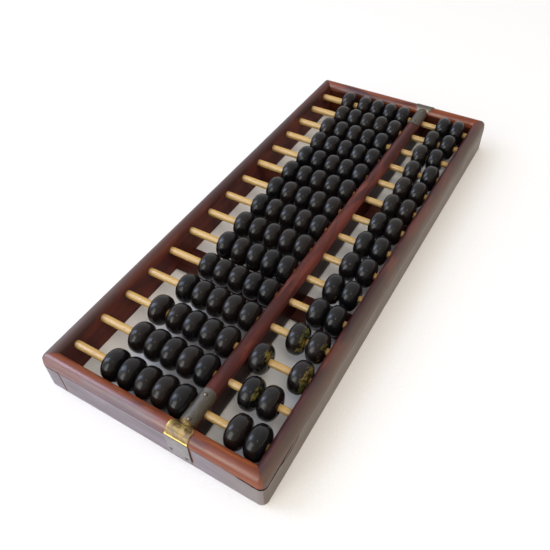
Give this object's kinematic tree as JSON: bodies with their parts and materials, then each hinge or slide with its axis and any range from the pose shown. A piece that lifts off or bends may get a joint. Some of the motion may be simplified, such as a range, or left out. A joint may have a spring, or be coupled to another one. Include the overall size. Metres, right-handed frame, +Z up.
{
  "type": "abacus",
  "caption": "Chinese counting-frame abacus: hardwood frame with a reckoning beam, bamboo rods, sliding black beads and brass straps at the ends of the beam.",
  "frame": {"origin": "on the table, under the middle of the frame's outline", "axes": "+X along the long rails, rod 01 at -X and rod 15 at +X; +Y from the five-bead (earth) deck across the beam to the two-bead (heaven) deck, the way the beads slide; +Z up"},
  "size_m": [0.3666, 0.153, 0.0291],
  "materials": {
    "rosewood": "dark oiled rosewood, worn satin",
    "bamboo": "bare bamboo, satin",
    "black_lacquer": "black lacquer on wood, gloss",
    "brass": "tarnished sheet brass, rubbed bright along the folds"
  },
  "bodies": {
    "frame": {"earth_rail": "rosewood", "heaven_rail": "rosewood", "left_end_rail": "rosewood", "right_end_rail": "rosewood", "beam": "rosewood", "rod_01": "bamboo", "rod_02": "bamboo", "rod_03": "bamboo", "rod_04": "bamboo", "rod_05": "bamboo", "rod_06": "bamboo", "rod_07": "bamboo", "rod_08": "bamboo", "rod_09": "bamboo", "rod_10": "bamboo", "rod_11": "bamboo", "rod_12": "bamboo", "rod_13": "bamboo", "rod_14": "bamboo", "rod_15": "bamboo", "left_brace": "rosewood", "right_brace": "rosewood", "left_strap": "brass", "right_strap": "brass"},
    "earth_beads_01a": {"earth_beads_01a": "black_lacquer"},
    "earth_beads_01b": {"earth_beads_01b": "black_lacquer"},
    "earth_beads_02": {"earth_beads_02": "black_lacquer"},
    "earth_beads_03": {"earth_beads_03": "black_lacquer"},
    "earth_beads_04": {"earth_beads_04": "black_lacquer"},
    "earth_beads_05": {"earth_beads_05": "black_lacquer"},
    "earth_beads_06": {"earth_beads_06": "black_lacquer"},
    "earth_beads_07": {"earth_beads_07": "black_lacquer"},
    "earth_beads_08": {"earth_beads_08": "black_lacquer"},
    "earth_beads_09": {"earth_beads_09": "black_lacquer"},
    "earth_beads_10": {"earth_beads_10": "black_lacquer"},
    "earth_beads_11": {"earth_beads_11": "black_lacquer"},
    "earth_beads_12": {"earth_beads_12": "black_lacquer"},
    "earth_beads_13a": {"earth_beads_13a": "black_lacquer"},
    "earth_beads_13b": {"earth_beads_13b": "black_lacquer"},
    "earth_beads_14": {"earth_beads_14": "black_lacquer"},
    "earth_beads_15": {"earth_beads_15": "black_lacquer"},
    "heaven_beads_01": {"heaven_beads_01": "black_lacquer"},
    "heaven_beads_02a": {"heaven_beads_02a": "black_lacquer"},
    "heaven_beads_02b": {"heaven_beads_02b": "black_lacquer"},
    "heaven_beads_03": {"heaven_beads_03": "black_lacquer"},
    "heaven_beads_04a": {"heaven_beads_04a": "black_lacquer"},
    "heaven_beads_04b": {"heaven_beads_04b": "black_lacquer"},
    "heaven_beads_05": {"heaven_beads_05": "black_lacquer"},
    "heaven_beads_06": {"heaven_beads_06": "black_lacquer"},
    "heaven_beads_07": {"heaven_beads_07": "black_lacquer"},
    "heaven_beads_08": {"heaven_beads_08": "black_lacquer"},
    "heaven_beads_09": {"heaven_beads_09": "black_lacquer"},
    "heaven_beads_10": {"heaven_beads_10": "black_lacquer"},
    "heaven_beads_11": {"heaven_beads_11": "black_lacquer"},
    "heaven_beads_12a": {"heaven_beads_12a": "black_lacquer"},
    "heaven_beads_12b": {"heaven_beads_12b": "black_lacquer"},
    "heaven_beads_13a": {"heaven_beads_13a": "black_lacquer"},
    "heaven_beads_13b": {"heaven_beads_13b": "black_lacquer"},
    "heaven_beads_14": {"heaven_beads_14": "black_lacquer"},
    "heaven_beads_15": {"heaven_beads_15": "black_lacquer"}
  },
  "joints": [
    {"name": "slide_earth_beads_01a", "type": "slide", "parent": "frame", "child": "earth_beads_01a", "axis": [0, 1, 0], "range_m": [-0.0186, 0.003]},
    {"name": "slide_earth_beads_01b", "type": "slide", "parent": "frame", "child": "earth_beads_01b", "axis": [0, 1, 0], "range_m": [-0.003, 0.002]},
    {"name": "slide_earth_beads_02", "type": "slide", "parent": "frame", "child": "earth_beads_02", "axis": [0, 1, 0], "range_m": [-0.023, 0.0009]},
    {"name": "slide_earth_beads_03", "type": "slide", "parent": "frame", "child": "earth_beads_03", "axis": [0, 1, 0], "range_m": [-0.0213, 0.0026]},
    {"name": "slide_earth_beads_04", "type": "slide", "parent": "frame", "child": "earth_beads_04", "axis": [0, 1, 0], "range_m": [-0.0239, 0]},
    {"name": "slide_earth_beads_05", "type": "slide", "parent": "frame", "child": "earth_beads_05", "axis": [0, 1, 0], "range_m": [-0.0239, 0]},
    {"name": "slide_earth_beads_06", "type": "slide", "parent": "frame", "child": "earth_beads_06", "axis": [0, 1, 0], "range_m": [-0.0236, 0.0003]},
    {"name": "slide_earth_beads_07", "type": "slide", "parent": "frame", "child": "earth_beads_07", "axis": [0, 1, 0], "range_m": [-0.0233, 0.0006]},
    {"name": "slide_earth_beads_08", "type": "slide", "parent": "frame", "child": "earth_beads_08", "axis": [0, 1, 0], "range_m": [-0.0237, 0.0002]},
    {"name": "slide_earth_beads_09", "type": "slide", "parent": "frame", "child": "earth_beads_09", "axis": [0, 1, 0], "range_m": [-0.0239, 0]},
    {"name": "slide_earth_beads_10", "type": "slide", "parent": "frame", "child": "earth_beads_10", "axis": [0, 1, 0], "range_m": [-0.0239, 0]},
    {"name": "slide_earth_beads_11", "type": "slide", "parent": "frame", "child": "earth_beads_11", "axis": [0, 1, 0], "range_m": [-0.0239, 0]},
    {"name": "slide_earth_beads_12", "type": "slide", "parent": "frame", "child": "earth_beads_12", "axis": [0, 1, 0], "range_m": [-0.0239, 0]},
    {"name": "slide_earth_beads_13a", "type": "slide", "parent": "frame", "child": "earth_beads_13a", "axis": [0, 1, 0], "range_m": [-0.0207, 0.0019]},
    {"name": "slide_earth_beads_13b", "type": "slide", "parent": "frame", "child": "earth_beads_13b", "axis": [0, 1, 0], "range_m": [-0.0019, 0.001]},
    {"name": "slide_earth_beads_14", "type": "slide", "parent": "frame", "child": "earth_beads_14", "axis": [0, 1, 0], "range_m": [-0.0239, 0]},
    {"name": "slide_earth_beads_15", "type": "slide", "parent": "frame", "child": "earth_beads_15", "axis": [0, 1, 0], "range_m": [-0.0239, 0]},
    {"name": "slide_heaven_beads_01", "type": "slide", "parent": "frame", "child": "heaven_beads_01", "axis": [0, 1, 0], "range_m": [-0.0121, 0.0023]},
    {"name": "slide_heaven_beads_02a", "type": "slide", "parent": "frame", "child": "heaven_beads_02a", "axis": [0, 1, 0], "range_m": [-0.0105, 0.0011]},
    {"name": "slide_heaven_beads_02b", "type": "slide", "parent": "frame", "child": "heaven_beads_02b", "axis": [0, 1, 0], "range_m": [-0.0011, 0.0025]},
    {"name": "slide_heaven_beads_03", "type": "slide", "parent": "frame", "child": "heaven_beads_03", "axis": [0, 1, 0], "range_m": [-0.0095, 0.0049]},
    {"name": "slide_heaven_beads_04a", "type": "slide", "parent": "frame", "child": "heaven_beads_04a", "axis": [0, 1, 0], "range_m": [-0.0113, 0.0023]},
    {"name": "slide_heaven_beads_04b", "type": "slide", "parent": "frame", "child": "heaven_beads_04b", "axis": [0, 1, 0], "range_m": [-0.0023, 0.0005]},
    {"name": "slide_heaven_beads_05", "type": "slide", "parent": "frame", "child": "heaven_beads_05", "axis": [0, 1, 0], "range_m": [-0.013, 0.0014]},
    {"name": "slide_heaven_beads_06", "type": "slide", "parent": "frame", "child": "heaven_beads_06", "axis": [0, 1, 0], "range_m": [-0.0133, 0.0011]},
    {"name": "slide_heaven_beads_07", "type": "slide", "parent": "frame", "child": "heaven_beads_07", "axis": [0, 1, 0], "range_m": [-0.0131, 0.0013]},
    {"name": "slide_heaven_beads_08", "type": "slide", "parent": "frame", "child": "heaven_beads_08", "axis": [0, 1, 0], "range_m": [-0.0127, 0.0017]},
    {"name": "slide_heaven_beads_09", "type": "slide", "parent": "frame", "child": "heaven_beads_09", "axis": [0, 1, 0], "range_m": [-0.0131, 0.0013]},
    {"name": "slide_heaven_beads_10", "type": "slide", "parent": "frame", "child": "heaven_beads_10", "axis": [0, 1, 0], "range_m": [-0.0125, 0.0019]},
    {"name": "slide_heaven_beads_11", "type": "slide", "parent": "frame", "child": "heaven_beads_11", "axis": [0, 1, 0], "range_m": [-0.0133, 0.0011]},
    {"name": "slide_heaven_beads_12a", "type": "slide", "parent": "frame", "child": "heaven_beads_12a", "axis": [0, 1, 0], "range_m": [-0.012, 0.001]},
    {"name": "slide_heaven_beads_12b", "type": "slide", "parent": "frame", "child": "heaven_beads_12b", "axis": [0, 1, 0], "range_m": [-0.001, 0.0011]},
    {"name": "slide_heaven_beads_13a", "type": "slide", "parent": "frame", "child": "heaven_beads_13a", "axis": [0, 1, 0], "range_m": [-0.0003, 0.0136]},
    {"name": "slide_heaven_beads_13b", "type": "slide", "parent": "frame", "child": "heaven_beads_13b", "axis": [0, 1, 0], "range_m": [-0.0136, 0.0002]},
    {"name": "slide_heaven_beads_14", "type": "slide", "parent": "frame", "child": "heaven_beads_14", "axis": [0, 1, 0], "range_m": [-0.0081, 0.0063]},
    {"name": "slide_heaven_beads_15", "type": "slide", "parent": "frame", "child": "heaven_beads_15", "axis": [0, 1, 0], "range_m": [-0.0144, 0]}
  ]
}
